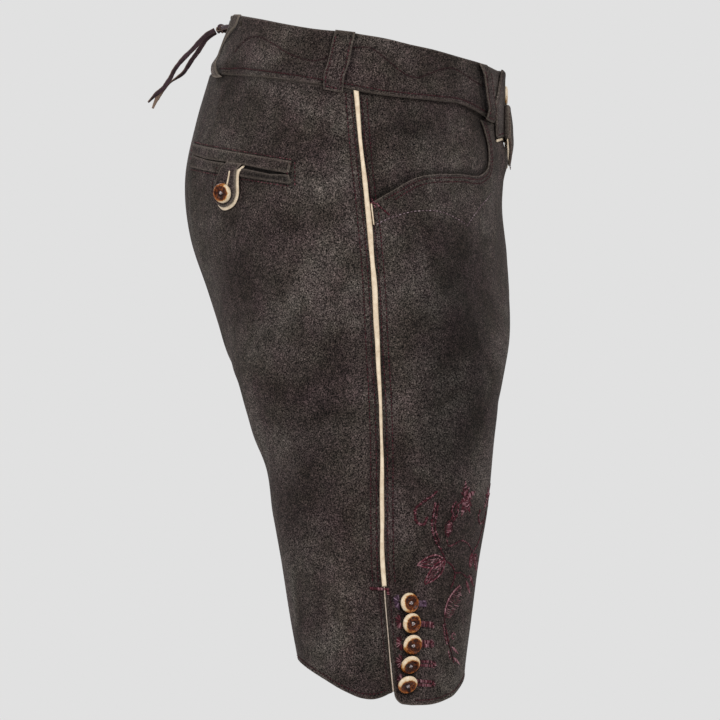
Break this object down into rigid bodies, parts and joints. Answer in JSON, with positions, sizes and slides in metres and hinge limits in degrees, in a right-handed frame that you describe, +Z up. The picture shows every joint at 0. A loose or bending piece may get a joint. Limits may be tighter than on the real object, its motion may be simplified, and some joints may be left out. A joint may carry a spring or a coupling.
{
  "type": "lederhosen",
  "caption": "Short leather breeches in dark suede, filled out as worn: piped side seams, laced back waist, buttoned front tab, flap pocket tab and horn buttons beside the leg slits.",
  "frame": {"origin": "middle of the waist opening, halfway up the waistband beside the hips", "axes": "+Z up along the body, -Y towards the wearer's front, +X towards the wearer's left; metres"},
  "size_m": [0.4106, 0.3009, 0.5524],
  "materials": {
    "suede": "mottled dark grey-brown suede, napped",
    "cream_leather": "smooth cream leather piping",
    "lace_leather": "dark brown suede lace with a pale flesh side",
    "horn": "polished stag horn, cream rim and brown marbled face"
  },
  "bodies": {
    "root": {"back_gusset": "suede", "back_left": "suede", "back_right": "suede", "belt_loop_front_left": "suede", "belt_loop_front_right": "suede", "belt_loop_side_left": "suede", "belt_loop_side_right": "suede", "front_left": "suede", "front_placket": "suede", "front_right": "suede", "front_tab": "suede", "front_tab_backing": "cream_leather", "knife_pocket_edge": "cream_leather", "lace_end_lower": "lace_leather", "lace_end_upper": "lace_leather", "lace_knot": "lace_leather", "lace_left": "lace_leather", "lace_right": "lace_leather", "leg_button_left_1": "horn", "leg_button_left_2": "horn", "leg_button_left_3": "horn", "leg_button_left_4": "horn", "leg_button_left_5": "horn", "leg_button_right_1": "horn", "leg_button_right_2": "horn", "leg_button_right_3": "horn", "leg_button_right_4": "horn", "leg_button_right_5": "horn", "placket_piping": "cream_leather", "pocket_button": "horn", "pocket_facing_left": "suede", "pocket_facing_right": "suede", "pocket_tab": "suede", "pocket_tab_backing": "cream_leather", "pocket_welt_lower": "suede", "pocket_welt_upper": "suede", "side_piping_left": "cream_leather", "side_piping_right": "cream_leather", "slit_piping_left": "cream_leather", "slit_piping_right": "cream_leather", "waist_button": "horn", "waistband_left": "suede", "waistband_right": "suede"}
  },
  "joints": []
}
